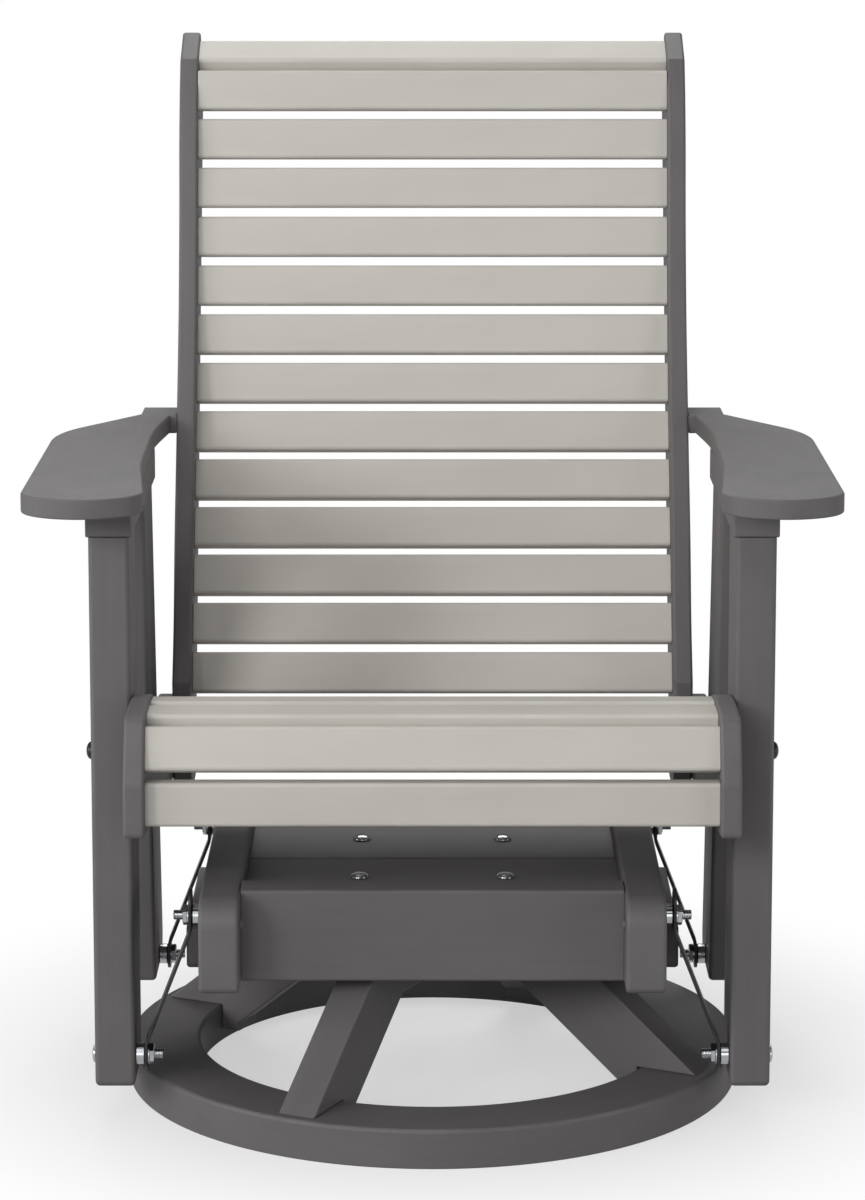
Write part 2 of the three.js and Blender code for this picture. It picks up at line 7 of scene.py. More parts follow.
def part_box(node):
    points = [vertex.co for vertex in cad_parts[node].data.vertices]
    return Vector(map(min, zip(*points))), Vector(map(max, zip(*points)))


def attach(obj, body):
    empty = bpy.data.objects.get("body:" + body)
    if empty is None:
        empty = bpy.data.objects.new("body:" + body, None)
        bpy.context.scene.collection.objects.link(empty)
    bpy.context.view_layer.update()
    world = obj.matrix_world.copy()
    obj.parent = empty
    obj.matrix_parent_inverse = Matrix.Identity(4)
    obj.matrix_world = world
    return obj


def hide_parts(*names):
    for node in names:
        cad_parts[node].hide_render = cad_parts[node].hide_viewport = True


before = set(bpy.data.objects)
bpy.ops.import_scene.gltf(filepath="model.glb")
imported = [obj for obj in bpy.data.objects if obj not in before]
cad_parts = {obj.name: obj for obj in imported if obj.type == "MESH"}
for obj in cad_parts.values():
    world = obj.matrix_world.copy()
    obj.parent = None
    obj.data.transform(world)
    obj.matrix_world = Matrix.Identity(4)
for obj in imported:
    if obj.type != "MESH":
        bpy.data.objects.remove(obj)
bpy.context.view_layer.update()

# An outdoor glider of plastic lumber, put together from the floor up. X runs across the
# seat, the sitter faces -Y and Z is up. Drawings are in millimetres, with the swivel's
# axis at their origin and the floor at height zero.


# The ring: one flat ring sawn from 38 mm charcoal board, with both top edges rounded by
# a router. It lies loose on the floor and carries the four struts.

MM = 0.001
ring_low, ring_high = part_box("base_ring")
from_axis = Matrix.Translation((0, (ring_low.y + ring_high.y) / 2, 0)) @ Matrix.Scale(MM, 4)
thick_board = 38
thin_board = 19
ring_outer = 301
ring_inner = 231
across = Vector((1, 0, 0))
backward = Vector((0, 1, 0))
up = Vector((0, 0, 1))


def linear(hex_colour):
    """An sRGB hex colour as the linear colour that a shader takes."""
    shares = [int(hex_colour[i:i + 2], 16) / 255 for i in (1, 3, 5)]
    return (*[c / 12.92 if c <= 0.04045 else ((c + 0.055) / 1.055) ** 2.4 for c in shares], 1)


def add(tree, kind, inputs=None, **settings):
    """Adds one shader node. An input takes a number, a colour or another node's output."""
    node = tree.nodes.new("ShaderNode" + kind)
    for name, value in settings.items():
        setattr(node, name, value)
    for socket, value in (inputs or {}).items():
        if isinstance(value, bpy.types.NodeSocket):
            tree.links.new(value, node.inputs[socket])
        else:
            node.inputs[socket].default_value = value
    return node


def drawn_noise(tree, own, scale, detail, low, high):
    """Noise with so many marks a metre along, across and through, as a share from 0 to 1."""
    place = add(tree, "Mapping", {"Vector": own, "Scale": scale})
    noise = add(tree, "TexNoise", {"Vector": place.outputs[0], "Scale": 1, "Detail": detail})
    share = add(tree, "MapRange", {"Value": noise.outputs[0], "From Min": low, "From Max": high})
    return share.outputs[0]


def lumber(name, colour, paler, darker, rubbed_colour, streak_share):
    """HDPE lumber is polyethylene extruded as planks, dyed right through and faintly waxy.
    The die leaves soft streaks along the plank, the dye has slight clouds and specks, and
    the routed edges are duller and a little paler where they are rubbed."""
    material = bpy.data.materials.new(name)
    material.use_nodes = True
    tree = material.node_tree
    skin = tree.nodes["Principled BSDF"]
    own = add(tree, "Attribute", attribute_name="plank").outputs["Vector"]
    # Die streaks are about 1 mm apart and 250 mm long. They are drawn 3 mm apart to show.
    streaks = drawn_noise(tree, own, (4, 330, 330), 3, 0.3, 0.7)
    # Clouds in the dye, about 90 mm long and 35 mm wide.
    clouds = drawn_noise(tree, own, (11, 28, 28), 2, 0.3, 0.7)
    # Specks of the dye, 1.5 mm long and 1 mm wide.
    specks = drawn_noise(tree, own, (650, 1000, 1000), 2, 0.35, 0.65)
    # Dust and scuffs in patches the size of a hand.
    scuffs = drawn_noise(tree, own, (14, 22, 22), 5, 0.45, 0.75)
    lot = add(tree, "ObjectInfo").outputs["Random"]
    warm = add(tree, "Math", {0: streaks, 1: streak_share, 2: 0.2}, operation="MULTIPLY_ADD").outputs[0]
    warm = add(tree, "Math", {0: clouds, 1: 0.35, 2: warm}, operation="MULTIPLY_ADD").outputs[0]
    warm = add(tree, "Math", {0: lot, 1: 0.15, 2: warm}, operation="MULTIPLY_ADD").outputs[0]
    dye = add(tree, "MixRGB", {"Fac": warm, "Color1": linear(darker), "Color2": linear(paler)})
    speckled = add(tree, "Math", {0: specks, 1: 0.1}, operation="MULTIPLY").outputs[0]
    flecked = add(tree, "MixRGB", {"Fac": speckled, "Color1": dye.outputs[0], "Color2": linear(colour)})
    rubbed = add(tree, "Attribute", attribute_name="rubbed").outputs["Fac"]
    worn = add(tree, "Math", {0: rubbed, 1: scuffs}, operation="MULTIPLY").outputs[0]
    worn = add(tree, "Math", {0: worn, 1: 0.45}, operation="MULTIPLY").outputs[0]
    finish = add(tree, "MixRGB", {"Fac": worn, "Color1": flecked.outputs[0], "Color2": linear(rubbed_colour)})
    tree.links.new(finish.outputs[0], skin.inputs["Base Color"])
    gloss = add(tree, "Math", {0: streaks, 1: 0.06, 2: 0.54}, operation="MULTIPLY_ADD").outputs[0]
    gloss = add(tree, "Math", {0: scuffs, 1: 0.05, 2: gloss}, operation="MULTIPLY_ADD").outputs[0]
    gloss = add(tree, "Math", {0: rubbed, 1: 0.06, 2: gloss}, operation="MULTIPLY_ADD").outputs[0]
    tree.links.new(gloss, skin.inputs["Roughness"])
    skin.inputs["IOR"].default_value = 1.48
    # The streaks stand 0.006 mm proud, and the planed skin has pits of nearly that depth.
    ribs = add(tree, "Bump", {"Height": streaks, "Distance": 0.006 * MM, "Strength": 1})
    pits = add(tree, "Bump", {"Height": specks, "Distance": 0.004 * MM, "Strength": 1, "Normal": ribs.outputs[0]})
    tree.links.new(pits.outputs[0], skin.inputs["Normal"])
    return material


charcoal_lumber = lumber("charcoal_hdpe_lumber", "#605d5e", "#676465", "#595657", "#7b7879", 0.3)


def rounded(corners, steps=6):
    """An outline with its corners rounded. A corner is x, y and the radius there. Each
    point of the outline also says how far the edge there is rubbed, from 0 to 1."""
    outline = []
    for index, (x, y, radius) in enumerate(corners):
        corner = Vector((x, y))
        if not radius:
            outline.append((corner, 0))
            continue
        before = (Vector(corners[index - 1][:2]) - corner).normalized()
        after = (Vector(corners[(index + 1) % len(corners)][:2]) - corner).normalized()
        half = before.angle(after) / 2
        centre = corner + (before + after).normalized() * radius / math.sin(half)
        start = corner + before * radius / math.tan(half) - centre
        end = corner + after * radius / math.tan(half) - centre
        turn = math.atan2(start.x * end.y - start.y * end.x, start.dot(end))
        for step in range(steps + 1):
            spoke = start.copy()
            spoke.rotate(Matrix.Rotation(turn * step / steps, 2))
            outline.append((centre + spoke, math.sin(math.pi * step / steps) if radius < 9 else 0))
    return outline


def skin_over(shape, rows, closed):
    """Faces between rows of points. A row of one point is a tip."""
    pairs = list(zip(rows, rows[1:])) + ([(rows[-1], rows[0])] if closed else [])
    for row, beyond in pairs:
        count = max(len(row), len(beyond))
        for k in range(count):
            n = (k + 1) % count
            corners = [row[k % len(row)], row[n % len(row)], beyond[n % len(beyond)], beyond[k % len(beyond)]]
            corners = list(dict.fromkeys(corners))
            if len(corners) > 2:
                shape.faces.new(corners)


def turned(profile, segments, closed=False):
    """A shape turned about Z. The profile's points are radius, height and how rubbed."""
    shape = bmesh.new()
    rubbed = shape.verts.layers.float.new("rubbed")
    rows = []
    for radius, height, wear in profile:
        spokes = [2 * math.pi * k / segments for k in range(segments)] if radius else [0]
        row = [shape.verts.new((radius * math.cos(a), radius * math.sin(a), height)) for a in spokes]
        for vert in row:
            vert[rubbed] = wear
        rows.append(row)
    skin_over(shape, rows, closed)
    return shape


def piece(name, shape, material, grain=across, face=up):
    """Makes an object of a drawn shape. Each point keeps its place on the plank it was cut
    from, with X along the grain and Z out of the face, so the streaks follow the plank."""
    bmesh.ops.recalc_face_normals(shape, faces=shape.faces)
    low = Vector([min(v.co[i] for v in shape.verts) for i in range(3)])
    high = Vector([max(v.co[i] for v in shape.verts) for i in range(3)])
    middle = Matrix.Translation(from_axis @ ((low + high) / 2))
    for side in shape.faces:
        side.smooth = True
    mesh = bpy.data.meshes.new(name)
    shape.to_mesh(mesh)
    shape.free()
    mesh.transform(middle.inverted() @ from_axis)
    to_plank = Matrix((grain, face.cross(grain), face))
    plank = mesh.attributes.new("plank", "FLOAT_VECTOR", "POINT")
    for spot, vert in zip(plank.data, mesh.vertices):
        spot.vector = to_plank @ vert.co
    mesh.set_sharp_from_angle(angle=math.radians(25))
    mesh.materials.append(material)
    made = bpy.data.objects.new(name, mesh)
    made.matrix_world = middle
    bpy.context.scene.collection.objects.link(made)
    shading = made.modifiers.new("flat_faces", "WEIGHTED_NORMAL")
    shading.keep_sharp = True
    return made


ring_section = rounded([
    (ring_inner, 0, 1.5), (ring_outer, 0, 1.5), (ring_outer, thick_board, 4), (ring_inner, thick_board, 4),
])
ring_shape = turned([(p.x, p.y, wear) for p, wear in ring_section], 160, True)
ring = piece("base_ring_lumber", ring_shape, charcoal_lumber)
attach(ring, "stand")
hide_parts("base_ring")


# The four struts: sloping pieces of the same board that stand on the ring. A notch drops
# each toe inside the ring's bore, and their level tops meet at the middle.

strut_heading = 64
strut_slope = math.tan(math.radians(39))
stand_height = 144
strut_tip = ring_outer - 10
strut_core = 22
strut_seat = thick_board + 0.3
strut_wall = math.sqrt(ring_inner ** 2 - (thick_board / 2) ** 2) - 0.6
strut_under = stand_height - 36
toe_end = strut_wall - 19
toe_low, toe_high = 13, 21


def eased_board(outline, thickness, ease, plane=Matrix(), steps=4):
    """A plank sawn to an outline, centred on its thickness, with its edges rounded."""
    if sum(a.x * b.y - a.y * b.x for (a, _), (b, _) in zip(outline, outline[1:] + outline[:1])) < 0:
        outline = outline[::-1]
    mitres = []
    for index, (corner, _) in enumerate(outline):
        before = (corner - outline[index - 1][0]).normalized()
        after = (outline[(index + 1) % len(outline)][0] - corner).normalized()
        outward = Vector((before.y + after.y, -before.x - after.x))
        mitres.append(outward / (1 + before.dot(after)))
    shape = bmesh.new()
    rubbed = shape.verts.layers.float.new("rubbed")
    rows = []
    for half in (-1, 1):
        for step in range(steps + 1)[::half]:
            angle = math.radians(90) * step / steps
            height = half * (thickness / 2 - ease * (1 - math.sin(angle)))
            inset = ease * (1 - math.cos(angle))
            row = []
            for (corner, wear), mitre in zip(outline, mitres):
                spot = corner - mitre * inset
                vert = shape.verts.new(plane @ Vector((spot.x, spot.y, height)))
                vert[rubbed] = max(wear, math.sin(2 * angle))
                row.append(vert)
            rows.append(row)
    skin_over(shape, rows, False)
    shape.faces.new(rows[0])
    shape.faces.new(rows[-1])
    return shape


for number in range(4):
    heading = math.radians(strut_heading + 90 * number)
    outward = Vector((math.cos(heading), math.sin(heading), 0))
    plane = Matrix((outward, up, outward.cross(up))).transposed().to_4x4()
    outline = rounded([
        (strut_tip, strut_seat, 0),
        (strut_tip - (stand_height - strut_seat) / strut_slope, stand_height, 0),
        (strut_core, stand_height, 0),
        (strut_core, strut_under, 0),
        (toe_end - (strut_under - toe_high) / strut_slope, strut_under, 0),
        (toe_end, toe_high, 0),
        (toe_end, toe_low, 0),
        (strut_wall, toe_low, 0),
        (strut_wall, strut_seat, 0),
    ])
    downhill = (outward - up * strut_slope).normalized()
    strut = piece(f"strut_{number + 1}_lumber", eased_board(outline, thick_board, 2, plane), charcoal_lumber,
                  downhill, outward.cross(up))
    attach(strut, "stand")
    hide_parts(f"strut_{number + 1}")


# The hub board: a square of 19 mm board screwed to the struts' level tops. The swivel's
# lower plate sits on it.

hub_size = 200


def rectangle(width, height, radius, x=0, y=0):
    """A rounded rectangle about the given middle."""
    sides = ((-1, -1), (1, -1), (1, 1), (-1, 1))
    return rounded([(x + sx * width / 2, y + sy * height / 2, radius) for sx, sy in sides])


hub_plane = Matrix.Translation((0, 0, stand_height + thin_board / 2))
hub = piece("hub_board_lumber", eased_board(rectangle(hub_size, hub_size, 14), thin_board, 3, hub_plane),
            charcoal_lumber)
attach(hub, "stand")
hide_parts("hub_board")


# The ball swivel: two square steel plates, each with a race rolled up from it, and a cage
# of balls between the races. The plates are pressed and powder coated, the cage is zinc
# plated. It is a flat sandwich in the shade between the hub board and the deck.

swivel_height = 14
plate_size = 178
plate_thickness = 2.5
plate_bore = 40
plate_corner = 12
bolt_half_spacing = 71
lower_race = (50, 58)
upper_race = (66, 74)
race_rise = 6.5
cage_band = (60, 64)
ball_circle = 62
ball_radius = 3.5
ball_count = 12
hub_top = stand_height + thin_board
deck_bottom = hub_top + swivel_height


def powder_coat(name, colour, varied, worn_colour):
    """Baked powder on steel. It flows out nearly smooth, with an orange peel of 1.5 mm and
    a soft satin glint, and it is greyer where edges are rubbed."""
    material = bpy.data.materials.new(name)
    material.use_nodes = True
    tree = material.node_tree
    skin = tree.nodes["Principled BSDF"]
    own = add(tree, "Attribute", attribute_name="plank").outputs["Vector"]
    peel = drawn_noise(tree, own, (650, 650, 650), 1, 0.3, 0.7)
    patches = drawn_noise(tree, own, (30, 45, 45), 4, 0.35, 0.7)
    rubbed = add(tree, "Attribute", attribute_name="rubbed").outputs["Fac"]
    worn = add(tree, "Math", {0: rubbed, 1: patches}, operation="MULTIPLY").outputs[0]
    worn = add(tree, "Math", {0: worn, 1: 0.35}, operation="MULTIPLY").outputs[0]
    coat = add(tree, "MixRGB", {"Fac": patches, "Color1": linear(colour), "Color2": linear(varied)})
    coat = add(tree, "MixRGB", {"Fac": worn, "Color1": coat.outputs[0], "Color2": linear(worn_colour)})
    tree.links.new(coat.outputs[0], skin.inputs["Base Color"])
    gloss = add(tree, "Math", {0: patches, 1: 0.12, 2: 0.32}, operation="MULTIPLY_ADD").outputs[0]
    tree.links.new(gloss, skin.inputs["Roughness"])
    skin.inputs["IOR"].default_value = 1.5
    bump = add(tree, "Bump", {"Height": peel, "Distance": 0.012 * MM, "Strength": 1})
    tree.links.new(bump.outputs[0], skin.inputs["Normal"])
    return material


def plated_steel(name, bright, dull, roughness, spread):
    """Bright zinc on steel, or bare polished steel. It mirrors its surroundings softly, with
    fine turning marks round each part and a bloom that comes and goes in patches of 8 mm."""
    material = bpy.data.materials.new(name)
    material.use_nodes = True
    tree = material.node_tree
    skin = tree.nodes["Principled BSDF"]
    own = add(tree, "Attribute", attribute_name="plank").outputs["Vector"]
    bloom = drawn_noise(tree, own, (120, 120, 120), 3, 0.3, 0.7)
    # Turning marks run round the part's own Z, 0.6 mm apart.
    marks = drawn_noise(tree, own, (60, 60, 1600), 1, 0.3, 0.7)
    plate = add(tree, "MixRGB", {"Fac": bloom, "Color1": linear(bright), "Color2": linear(dull)})
    tree.links.new(plate.outputs[0], skin.inputs["Base Color"])
    gloss = add(tree, "Math", {0: bloom, 1: spread, 2: roughness}, operation="MULTIPLY_ADD").outputs[0]
    tree.links.new(gloss, skin.inputs["Roughness"])
    skin.inputs["Metallic"].default_value = 1
    bump = add(tree, "Bump", {"Height": marks, "Distance": 0.003 * MM, "Strength": 1})
    tree.links.new(bump.outputs[0], skin.inputs["Normal"])
    return material


black_powder_coat = powder_coat("black_powder_coat", "#111112", "#18181a", "#5a5a5c")
zinc_plate = plated_steel("bright_zinc_plate", "#d3d5d8", "#bdbfc3", 0.12, 0.1)
polished_steel = plated_steel("polished_stainless_steel", "#d9dadc", "#c6c8cb", 0.07, 0.07)


def bored(outline, bore, low, high):
    """A flat plate with a round bore, and its outline standing between two heights."""
    shape = bmesh.new()
    shape.verts.layers.float.new("rubbed")
    rims = [p for p, _ in outline]
    bores = [p.normalized() * bore for p in rims]
    rows = [[shape.verts.new((p.x, p.y, z)) for p in loop]
            for loop, z in ((rims, high), (rims, low), (bores, low), (bores, high))]
    skin_over(shape, rows, True)
    return shape


for level, body, foot, rise, (near, far), material, slot in (
    ("lower", "stand", hub_top, 1, lower_race, black_powder_coat, "black_steel"),
    ("upper", "deck", deck_bottom, -1, upper_race, zinc_plate, "zinc_steel"),
):
    root = foot + rise * plate_thickness
    brim = root + rise * race_rise
    plate_outline = rectangle(plate_size, plate_size, plate_corner)
    plate = piece(f"swivel_{level}_plate_steel",
                  bored(plate_outline, plate_bore, min(foot, root), max(foot, root)), material)
    race_section = [(near, root, 0), (far, root, 0), (far, brim - rise, 0.5), (far - 1, brim, 0.5), (near, brim, 0)]
    race = piece(f"swivel_{level}_race_steel", turned(race_section, 96, True), material)
    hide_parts(f"swivel_{level}_plate")
    for part in (plate, race):
        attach(part, body)

cage_height = hub_top + swivel_height / 2
cage_inner, cage_outer = cage_band
cage_shape = turned([(cage_inner, cage_height - 1, 0), (cage_outer, cage_height - 1, 0),
                     (cage_outer, cage_height + 1, 0), (cage_inner, cage_height + 1, 0)], 96, True)
for number in range(ball_count):
    angle = math.radians(360 / ball_count * number)
    ball = Matrix.Translation((ball_circle * math.cos(angle), ball_circle * math.sin(angle), cage_height))
    bmesh.ops.create_icosphere(cage_shape, subdivisions=3, radius=ball_radius, matrix=ball)
cage = piece("ball_cage_steel", cage_shape, zinc_plate)
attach(cage, "stand")
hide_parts("ball_cage")


# The deck: two wide planks, butted at the middle, that close the deck frame. Four
# carriage bolts with polished domed heads hold the upper plate under them.

frame_inner = 181.5
deck_depth = 140
deck_top = deck_bottom + thick_board
deck_bolt_radius = 8.75
deck_bolt_height = 5
deck_nut_width = 13
deck_nut_height = 6.5


def along_x(x=0):
    """The plane of a drawing in Y and Z whose thickness runs along X."""
    return Matrix.Translation((x, 0, 0)) @ Matrix((backward, up, across)).transposed().to_4x4()


for end, way in (("front", -1), ("rear", 1)):
    section = rectangle(deck_depth, thick_board, 3, way * deck_depth / 2, deck_bottom + thick_board / 2)
    plank_shape = eased_board(section, 2 * frame_inner, 0.8, along_x())
    plank = piece(f"deck_board_{end}_lumber", plank_shape, charcoal_lumber)
    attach(plank, "deck")
    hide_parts(f"deck_board_{end}")


def dome(radius, height, base=0, rim=1, steps=10):
    """The profile of a carriage bolt's head: a low dome on a short straight rim."""
    profile = [(0, base, 0), (radius - 0.3, base, 0), (radius, base + 0.3, 0.5)]
    for step in range(steps + 1):
        angle = math.radians(90) * step / steps
        profile.append((radius * math.cos(angle) if step < steps else 0,
                        base + rim + (height - rim) * math.sin(angle), 0))
    return profile


def hex_nut(across_flats, low, high):
    """A hexagon nut with the corners of both faces turned off."""
    corner = across_flats / math.sqrt(3)
    shape = bmesh.new()
    rubbed = shape.verts.layers.float.new("rubbed")
    rows = []
    for share, height in ((0.9, low), (1, low + 0.5), (1, high - 0.5), (0.9, high)):
        row = [shape.verts.new((corner * share * math.cos(math.radians(60 * k)),
                                corner * share * math.sin(math.radians(60 * k)), height)) for k in range(6)]
        for vert in row:
            vert[rubbed] = 0.5
        rows.append(row)
    skin_over(shape, rows, False)
    shape.faces.new(rows[0])
    shape.faces.new(rows[-1])
    return shape


for number, (x, y) in enumerate(((-1, -1), (1, -1), (-1, 1), (1, 1))):
    spot = Matrix.Translation((x * bolt_half_spacing, y * bolt_half_spacing, 0))
    head = turned(dome(deck_bolt_radius, deck_bolt_height, deck_top + 0.2, 1.2), 40)
    head.transform(spot)
    bolt = piece(f"deck_bolt_head_{number + 1}", head, polished_steel)
    nut_top = deck_bottom - plate_thickness
    nut_shape = hex_nut(deck_nut_width, nut_top - deck_nut_height, nut_top)
    nut_shape.transform(spot)
    nut = piece(f"deck_bolt_nut_{number + 1}", nut_shape, zinc_plate)
    for part in (bolt, nut):
        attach(part, "deck")


# The deck frame: two cross rails between two side rails, all 38 x 89 mm plank on edge.
# The side rails run past the cross rails as noses with a rounded top corner. A filler block
# is screwed to the outside of each side rail below the links, by grey coated screws.

frame_bottom = stand_height + 1.5
frame_height = 89
cross_rail_middle = 168
frame_outer = frame_inner + thick_board
side_rail_length = 460
nose_top_radius = 27
frame_middle = frame_bottom + frame_height / 2
frame_top = frame_bottom + frame_height
block_length, block_height, block_thickness = 218, 43, 18.5
block_bottom = frame_bottom - 11
upper_pivot_height = frame_bottom + 59.5
block_screw_radius = 5.5
block_screw_height = 2.6
block_screw_reach = 198
screw_coating = powder_coat("grey_screw_coating", "#5e5c5c", "#676565", "#8a8888")

for end, way in (("front", -1), ("rear", 1)):
    section = rectangle(thick_board, frame_height, 3, way * cross_rail_middle, frame_middle)
    rail_shape = eased_board(section, 2 * frame_inner, 0.8, along_x())
    rail = piece(f"cross_rail_{end}_lumber", rail_shape, charcoal_lumber, across, backward * way)
    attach(rail, "deck")
    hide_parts(f"cross_rail_{end}")

for side, way in (("left", -1), ("right", 1)):
    rail_end = side_rail_length / 2
    nosed = rounded([(-rail_end, frame_bottom, 7), (rail_end, frame_bottom, 7),
                     (rail_end, frame_top, nose_top_radius), (-rail_end, frame_top, nose_top_radius)], 12)
    rail_shape = eased_board(nosed, thick_board, 4, along_x(way * (frame_inner + thick_board / 2)))
    rail = piece(f"side_rail_{side}_lumber", rail_shape, charcoal_lumber, backward, across * way)
    block_outline = rectangle(block_length, block_height, 6, 0, block_bottom + block_height / 2)
    block_shape = eased_board(block_outline, block_thickness, 3, along_x(way * (frame_outer + block_thickness / 2)))
    block = piece(f"filler_block_{side}_lumber", block_shape, charcoal_lumber, backward, across * way)
    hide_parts(f"side_rail_{side}")
    for part in (rail, block):
        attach(part, "deck")
    for end, along_y in (("front", -1), ("rear", 1)):
        head_shape = turned(dome(block_screw_radius, block_screw_height, 0.1, 0.5), 32)
        head_shape.transform(Matrix.Translation((way * frame_inner, along_y * block_screw_reach, upper_pivot_height))
                             @ Matrix.Rotation(-way * math.radians(90), 4, "Y"))
        screw = piece(f"block_screw_{end}_{side}", head_shape, screw_coating, backward, across * way)
        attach(screw, "deck")


# The links: four flat steel bars, 29 x 3 mm, with round ends. Each is bent outwards
# between its two eyes, and powder coated black. The chair hangs by them from the deck.

pivot_reach = 166
leg_inner = 283.5
lower_pivot_height = 68
link_thickness = 3
link_half_width = 14.5
collar_length = 9
link_top = upper_pivot_height + 26
link_bottom = lower_pivot_height - 14.5
link_edge = 0.6


def bent_bar(path, half_width, thickness, edge):
    """A flat bar with round ends, bent along a path in X and Z. Its width lies along Y."""
    reach = [0]
    for before, after in zip(path, path[1:]):
        reach.append(reach[-1] + (after - before).length)
    arc = [half_width * (1 - math.cos(math.radians(a))) for a in range(6, 91, 12)]
    bends = [s for s in reach if arc[-1] < s < reach[-1] - arc[-1]]
    stations = sorted({*arc, *[reach[-1] - s for s in arc], *bends})
    shape = bmesh.new()
    rubbed = shape.verts.layers.float.new("rubbed")
    rows = []
    for s in stations:
        leg = max(i for i in range(len(reach) - 1) if reach[i] <= s + 1e-6)
        along = (path[leg + 1] - path[leg]).normalized()
        spot = path[leg] + along * (s - reach[leg])
        if abs(s - reach[leg]) < 1e-6 and leg:
            along = (along + (path[leg] - path[leg - 1]).normalized()).normalized()
        inset = half_width - min(s, reach[-1] - s, half_width)
        half = math.sqrt(max(half_width ** 2 - inset ** 2, 0.01))
        side = Vector((-along.y, along.x))
        trim = min(edge, half / 2)
        shoulder = 1 - 2 * edge / thickness
        section = [(half - trim, 1), (half, shoulder), (half, -shoulder), (half - trim, -1)]
        section += [(-y, t) for y, t in section[::-1]]
        row = []
        for y, t in section:
            place = spot + side * t * thickness / 2
            vert = shape.verts.new((place.x, y, place.y))
            vert[rubbed] = 1 if abs(t) == 1 else 0.6
            row.append(vert)
        rows.append(row)
    skin_over(shape, rows, False)
    shape.faces.new(rows[0])
    shape.faces.new(rows[-1])
    return shape


upper_x = frame_outer + collar_length + link_thickness / 2
lower_x = leg_inner - collar_length - link_thickness / 2
link_path = [p for p, _ in rounded([
    (upper_x, link_top, 0),
    (upper_x, upper_pivot_height - 14, 12),
    (lower_x, lower_pivot_height + 12, 12),
    (lower_x, link_bottom, 0),
], 8)]
link_slant = (Vector((upper_x, 0, upper_pivot_height)) - Vector((lower_x, 0, lower_pivot_height))).normalized()
for end, along_y in (("front", -1), ("rear", 1)):
    for side, way in (("left", -1), ("right", 1)):
        bar = bent_bar([Vector((way * p.x, p.y)) for p in link_path], link_half_width, link_thickness, link_edge)
        bar.transform(Matrix.Translation((0, along_y * pivot_reach, 0)))
        slant = Vector((way * link_slant.x, 0, link_slant.z))
        link = piece(f"link_{end}_{side}_steel", bar, black_powder_coat, slant, slant.cross(backward))
        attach(link, f"link_{end}_{side}")
        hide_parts(f"link_{end}_{side}")


# The pivot bolts: zinc plated, with a domed head, a bearing collar on the near side of
# the link, and a washer, a hexagon nut and a threaded end beyond it.

collar_radius = 10.2
washer_radius = 10
journal_radius = 6
shank_radius = 4.75
head_radius = 8.5
head_height = 3.4
play = 0.3
washer_thickness = 0.9
nut_width, nut_height = 17.5, 4.6
nut_low = collar_length + link_thickness + play + washer_thickness
thread_pitch = 1.5
thread_depth = 0.45
thread_beyond = 14.6
thread_end = collar_length + link_thickness + thread_beyond
counterbore = 6


def pivot_bolt(grip):
    """The turned part of a pivot bolt, along Z. The collar bears on the face at height 0."""
    near = collar_length - play
    far = collar_length + link_thickness + play
    head = [(r, -grip - play - z, wear) for r, z, wear in dome(head_radius, head_height)[::-1][:-1]]
    profile = head + [(shank_radius, -grip - play, 0), (shank_radius, play, 0)]
    bevel = 0.8
    collar = [(collar_radius - bevel, play), (collar_radius, play + bevel), (collar_radius, near - bevel),
              (collar_radius - bevel, near)]
    profile += [(r, z, 0.4) for r, z in collar]
    profile += [(journal_radius, near, 0), (journal_radius, far, 0)]
    profile += [(washer_radius, far, 0.4), (washer_radius, far + washer_thickness, 0.4)]
    profile += [(shank_radius, far + washer_thickness, 0)]
    height = far + nut_height
    root = shank_radius - thread_depth
    profile.append((root, height, 0))
    while height < thread_end - thread_pitch - 0.5:
        crest_low, crest_high = height + thread_pitch * 0.4, height + thread_pitch * 0.65
        profile += [(shank_radius, crest_low, 0.3), (shank_radius, crest_high, 0.3), (root, height + thread_pitch, 0)]
        height += thread_pitch
    profile += [(shank_radius, thread_end - 0.7, 0), (shank_radius - 0.7, thread_end, 0), (0, thread_end, 0)]
    return turned(profile, 40)


def lay_bolt(shape, facing, x, y, height):
    """Lays a shape that stands along Z so that it points along X, the given way."""
    turn = Matrix.Rotation(facing * math.radians(90), 4, "Y")
    shape.transform(Matrix.Translation((x, y, height)) @ turn)
    return shape


for side, way in (("left", -1), ("right", 1)):
    for end, along_y in (("front", -1), ("rear", 1)):
        places = (
            ("upper", "deck", way, way * frame_outer, upper_pivot_height, thick_board - counterbore),
            ("lower", "chair", -way, way * leg_inner, lower_pivot_height, thick_board),
        )
        for level, body, facing, x, height, grip in places:
            y = along_y * pivot_reach
            outward = Vector((facing, 0, 0))
            bolt_shape = lay_bolt(pivot_bolt(grip), facing, x, y, height)
            nut_shape = lay_bolt(hex_nut(nut_width, nut_low, nut_low + nut_height), facing, x, y, height)
            bolt = piece(f"{level}_pivot_{end}_{side}_bolt", bolt_shape, zinc_plate, backward, outward)
            nut = piece(f"{level}_pivot_{end}_{side}_nut", nut_shape, zinc_plate, backward, outward)
            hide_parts(f"{level}_pivot_{end}_{side}")
            for part in (bolt, nut):
                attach(part, body)


# The legs: 38 mm plank. The front pair stand upright, and the rear pair lean forward as
# they rise. Each is sawn square under the cleat and rounded everywhere else.

leg_outer = leg_inner + thick_board
leg_top = 572.5
front_leg_front = -pivot_reach - 17
leg_depth = 89
front_leg_foot = 39.5
rear_leg_foot = 53
rear_leg_depth = 110
rear_leg_lean = math.tan(math.radians(10.3))
rear_leg_rear = pivot_reach + 60


def saw_off(shape, height):
    """Saws a shape square at the given height and closes the cut."""
    geometry = shape.verts[:] + shape.edges[:] + shape.faces[:]
    cut = bmesh.ops.bisect_plane(shape, geom=geometry, plane_co=(0, 0, height), plane_no=up, clear_outer=True)
    edges = [e for e in cut["geom_cut"] if isinstance(e, bmesh.types.BMEdge)]
    bmesh.ops.contextual_create(shape, geom=edges)
    return shape


